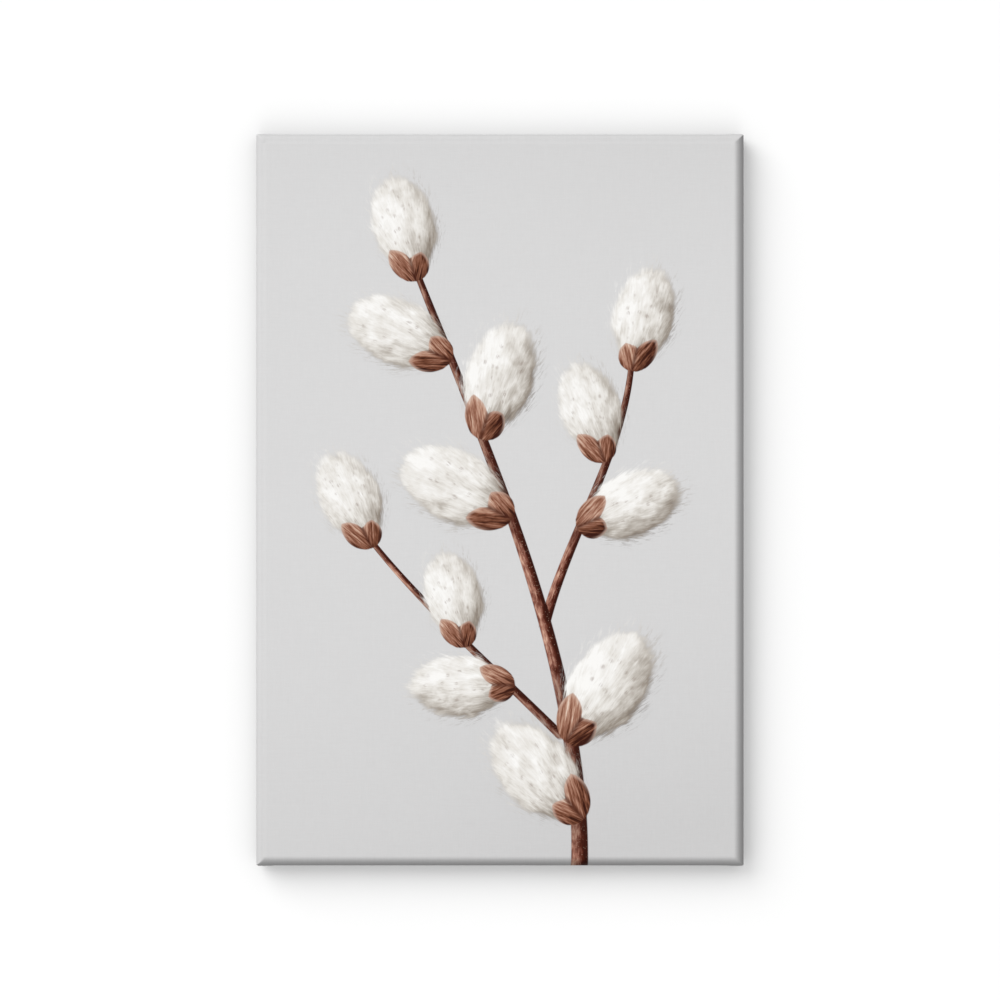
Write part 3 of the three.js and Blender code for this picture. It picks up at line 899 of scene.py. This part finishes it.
def staple_path(half, low, top):
    """Points along the wire from one leg's tip to the other's: (along the crown, depth, turn), where the
    turn goes from 0 down a leg to a right angle on the crown."""
    bend_steps = 4
    bend = []
    for step in range(bend_steps + 1):
        angle = math.pi / 2 * step / bend_steps
        along = half - STAPLE_BEND * (1 - math.cos(angle))
        bend.append((along, top - STAPLE_BEND * (1 - math.sin(angle)), angle))
    near = [(-along, depth, angle) for along, depth, angle in bend]
    return [(-half, low, 0.0), *near, *reversed(bend), (half, low, 0.0)]


def staple_mesh(name, low, high):
    """A round-cornered U: its crown along the longer side of the box, its legs going in."""
    upright = high.z - low.z > high.x - low.x
    middle = (low + high) / 2
    half = (max(high.x - low.x, high.z - low.z) - WIRE_THICKNESS) / 2
    half_wide, half_thick = WIRE_WIDTH / 2, WIRE_THICKNESS / 2
    section = []
    for sign_w, sign_t in ((1, 1), (-1, 1), (-1, -1), (1, -1)):
        first = (sign_w * half_wide, sign_t * (half_thick - WIRE_EASE))
        second = (sign_w * (half_wide - WIRE_EASE), sign_t * half_thick)
        section += [first, second] if sign_w * sign_t > 0 else [second, first]
    work = bmesh.new()
    rings = []
    for along, depth, turn in staple_path(half, low.y, high.y - half_thick):
        outward = math.copysign(math.cos(turn), along)
        ring = []
        for wide, thick in section:
            run = along + outward * thick
            across, up = (wide, run) if upright else (run, wide)
            place = (middle.x + across, depth + math.sin(turn) * thick, middle.z + up)
            ring.append(work.verts.new(place))
        rings.append(ring)
    for first, second in zip(rings, rings[1:]):
        for i in range(len(first)):
            j = (i + 1) % len(first)
            work.faces.new((first[i], first[j], second[j], second[i]))
    work.faces.new(rings[0])
    work.faces.new(rings[-1])
    bmesh.ops.recalc_face_normals(work, faces=work.faces)
    return mesh_of(work, name)


wire = galvanised()
for node in staple_nodes:
    staple = put(node + "_wire", staple_mesh(node + "_wire", *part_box(node)), node)
    staple.data.materials.append(wire)

# ---------------------------------------------------------------------------------------------------------
# Sawtooth hanger and its nails. A brass-plated strip pressed up in the middle, toothed below so that the
# picture can be levelled on its wall nail, and held to the top bar by two round-headed nails.

HANGER_EASE = 0.16 * MM
HANGER_LEAST_EDGE = 0.9 * MM


def brass_plate(name, brushed_along_x):
    """Thin brass plating, brushed on the strip and tumbled on the nails, a little tarnished."""
    material, start = finish_named(name, Metallic=1.0)
    place = start.node("TexCoord", output="Object")
    stretch = (90.0, 2500.0, 5200.0) if brushed_along_x else (1500.0, 1500.0, 1500.0)
    brushed = place.vector("MULTIPLY", stretch).noise(1.0, 2.0, 0.6)
    tarnish = place.noise(190.0, 4.0, 0.65)
    colour = tarnish.ramp(
        (0.28, (0.56, 0.385, 0.150)),
        (0.50, (0.68, 0.490, 0.205)),
        (0.75, (0.76, 0.570, 0.265)),
    )
    rough = 0.30 + (brushed - 0.5) * 0.20 + tarnish.step(0.60, 0.25) * 0.14
    start.paint(Base_Color=colour, Roughness=rough, Normal=brushed.bump(0.00004, 0.6))
    return material


hanger = eased_copy("hanger", HANGER_EASE, HANGER_LEAST_EDGE)
hanger.data.materials.append(brass_plate("hanger_brass", True))


def turned_piece(name, node, profile, sides):
    """A round piece in a node's place: profile is (radius, share of the way from its front to its back)."""
    low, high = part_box(node)
    middle = (low + high) / 2
    work = bmesh.new()
    rings = []
    for radius, share in profile:
        y = low.y + (high.y - low.y) * share
        ring = []
        for side in range(sides if radius else 1):
            angle = 2 * math.pi * side / sides
            place = (middle.x + radius * math.cos(angle), y, middle.z + radius * math.sin(angle))
            ring.append(work.verts.new(place))
        rings.append(ring)
    for first, second in zip(rings, rings[1:]):
        for i in range(sides):
            steps = ((first, i), (first, i + 1), (second, i + 1), (second, i))
            work.faces.new(dict.fromkeys(ring[step % len(ring)] for ring, step in steps))
    bmesh.ops.recalc_face_normals(work, faces=work.faces)
    return put(name, mesh_of(work, name), node)


NAIL_SHANK = 0.7 * MM
NAIL_HEAD = 1.8 * MM
NAIL_POINT = 0.13
HEAD_THICKNESS = 0.8 * MM
HEAD_RIM = 0.3
NAIL_SIDES = 32
nail_low, nail_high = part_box("hanger_nail_left")
head_share = 1 - HEAD_THICKNESS / (nail_high.y - nail_low.y)
nail_brass = brass_plate("nail_brass", False)
nail_profile = [
    (0.0, 0.0),
    (NAIL_SHANK, NAIL_POINT),
    (NAIL_SHANK, head_share),
    (NAIL_HEAD * 0.95, head_share),
]
dome_steps = 6
for step in range(dome_steps):
    angle = math.pi / 2 * step / dome_steps
    risen = HEAD_RIM + (1 - HEAD_RIM) * math.sin(angle)
    nail_profile.append((NAIL_HEAD * math.cos(angle), head_share + (1 - head_share) * risen))
nail_profile.append((0.0, 1.0))
for node in ("hanger_nail_left", "hanger_nail_right"):
    nail = turned_piece(node + "_round", node, nail_profile, NAIL_SIDES)
    nail.data.materials.append(nail_brass)

# ---------------------------------------------------------------------------------------------------------
# Wall bumpers. Two soft rubber buttons stuck to the bottom bar, as thick as the hanger stands out, so that
# the picture hangs parallel to the wall and doesn't mark it.

BUMPER_RADIUS = 5 * MM
BUMPER_SHOULDER = 0.24
SHOULDER_STARTS = 0.62
BUMPER_SIDES = 48


def soft_rubber():
    """Matt black rubber with a fine grain and a little dust."""
    material, start = finish_named("bumper_rubber", Specular_IOR_Level=0.4)
    place = start.node("TexCoord", output="Object")
    grain = place.noise(2600.0, 2.0)
    dust = place.noise(420.0, 3.0, 0.6).step(0.5, 0.8)
    colour = dust.blend((0.030, 0.030, 0.032, 1.0), (0.085, 0.083, 0.080, 1.0))
    start.paint(Base_Color=colour, Roughness=0.62 + dust * 0.25, Normal=grain.bump(0.00004, 0.6))
    return material


rubber = soft_rubber()
bumper_profile = [(0.0, 0.0), (BUMPER_RADIUS * 0.97, 0.0), (BUMPER_RADIUS, 0.06)]
shoulder_steps = 5
for step in range(shoulder_steps + 1):
    angle = math.pi / 2 * step / shoulder_steps
    radius = BUMPER_RADIUS * (1 - BUMPER_SHOULDER * (1 - math.cos(angle)))
    bumper_profile.append((radius, SHOULDER_STARTS + (1 - SHOULDER_STARTS) * math.sin(angle)))
bumper_profile.append((0.0, 1.0))
for node in ("bumper_left", "bumper_right"):
    bumper = turned_piece(node + "_button", node, bumper_profile, BUMPER_SIDES)
    bumper.data.materials.append(rubber)

# ---------------------------------------------------------------------------------------------------------
# Studio. A white wall that the picture hangs on, a plain pale floor well below it, soft light from the
# upper left, a weak fill on the back, and the camera square to the face. The wall shows from its front only.

WALL_GAP = 0.3 * MM
WALL_TOP = 3
FLOOR_DROP = 0.25
STAGE_REACH = 4
picture_middle = Vector((0.0, face_y + FRONT_RADIUS, cloth_middle.z))
wall_y = cad_box[1].y + WALL_GAP
floor_z = cloth_low.z - FLOOR_DROP


def stage_plane(name, near, far):
    """A flat piece of the stage between two edges, each given by its y and z."""
    left, right = -STAGE_REACH, STAGE_REACH
    corners = [(left, *near), (right, *near), (right, *far), (left, *far)]
    mesh = bpy.data.meshes.new(name)
    mesh.from_pydata(corners, [], [(0, 1, 2, 3)])
    plane = bpy.data.objects.new(name, mesh)
    scene.collection.objects.link(plane)
    return plane


wall = stage_plane("wall", (wall_y, floor_z), (wall_y, WALL_TOP))
wall_paint, start = finish_named(
    "wall_paint", Base_Color=(0.48, 0.48, 0.48, 1.0), Specular_IOR_Level=0.0, Roughness=1.0
)
from_behind = start.node("NewGeometry", output="Backfacing")
clear = start.node("BsdfTransparent")
painted = Shade(start.tree, start.tree.nodes["Principled BSDF"].outputs[0])
shown = start.node("MixShader", inputs={0: from_behind, 1: painted, 2: clear})
start.tree.links.new(shown.socket, start.tree.nodes["Material Output"].inputs["Surface"])
wall.data.materials.append(wall_paint)
for kind in ("diffuse", "glossy", "transmission", "shadow"):
    setattr(wall, "visible_" + kind, False)

floor = stage_plane("floor", (-STAGE_REACH, floor_z), (STAGE_REACH, floor_z))
floor_paint, start = finish_named("floor_paint", Specular_IOR_Level=0.1, Roughness=0.9)
floor_tone = start.node("TexCoord", output="Object").noise(6.0, 2.0)
floor_colour = floor_tone.ramp((0.3, (0.848, 0.848, 0.848)), (0.7, (0.858, 0.858, 0.858)))
start.paint(Base_Color=floor_colour)
floor.data.materials.append(floor_paint)
floor.visible_diffuse = floor.visible_shadow = False

AMBIENT = 0.33
LAMP_DISTANCE = 3
world = bpy.data.worlds.new("studio_air")
scene.world = world
world.use_nodes = True
air = Shade(world.node_tree)
white = (1.0, 1.0, 1.0, 1.0)
ambient = air.node("Background", inputs={0: white, 1: AMBIENT})
backdrop = air.node("Background", inputs={0: white, 1: 1.0})
seen = air.node("LightPath", output="Is Camera Ray")
sky = air.node("MixShader", inputs={0: seen, 1: ambient, 2: backdrop})
world.node_tree.links.new(sky.socket, world.node_tree.nodes["World Output"].inputs["Surface"])

not_the_wall = bpy.data.collections.new("not_the_wall")
not_the_wall.objects.link(wall)
not_the_wall.collection_objects[0].light_linking.link_state = "EXCLUDE"
the_wall_alone = bpy.data.collections.new("the_wall_alone")
the_wall_alone.objects.link(wall)


def soft_light(name, towards_light, width, share, lit):
    """A distant soft light this many degrees wide, giving this share of light to a face turned to -Y (or
    to +Y for a light from behind), on what the collection lit says."""
    direction = Vector(towards_light).normalized()
    lamp = bpy.data.lights.new(name, "SUN")
    lamp.angle = math.radians(width)
    lamp.energy = share * math.pi / abs(direction.y)
    holder = bpy.data.objects.new(name, lamp)
    scene.collection.objects.link(holder)
    holder.location = picture_middle + direction * LAMP_DISTANCE
    holder.rotation_euler = (-direction).to_track_quat("-Z", "Y").to_euler()
    holder.light_linking.receiver_collection = lit


soft_light("key_light", (-1.33, -1.0, 1.33), 24, 0.42, not_the_wall)
soft_light("front_light", (-0.25, -1.0, 0.25), 50, 0.35, not_the_wall)
soft_light("back_light", (0.0, 1.0, 0.0), 12, 0.45, not_the_wall)
soft_light("wall_key", (-1.15, -1.0, 1.15), 50, 0.56, the_wall_alone)
soft_light("wall_wash", (0.0, -1.0, 0.0), 140, 1.14, the_wall_alone)
soft_light("wall_fill", (0.0, -1.0, -1.2), 40, 0.09, the_wall_alone)

PHOTO_PIXELS = 1000
FACE_PIXELS = 487
SENSOR = 36.0
LENS = 85.0
camera_data = bpy.data.cameras.new("camera")
camera_data.lens = LENS
camera_data.sensor_width = SENSOR
camera = bpy.data.objects.new("camera", camera_data)
scene.collection.objects.link(camera)
seen_width = 2 * half_width * PHOTO_PIXELS / FACE_PIXELS
camera.location = picture_middle + Vector((0.0, -seen_width * LENS / SENSOR, 0.0))
camera.rotation_euler = (math.radians(90), 0.0, 0.0)
scene.camera = camera
scene.view_settings.view_transform = "Standard"
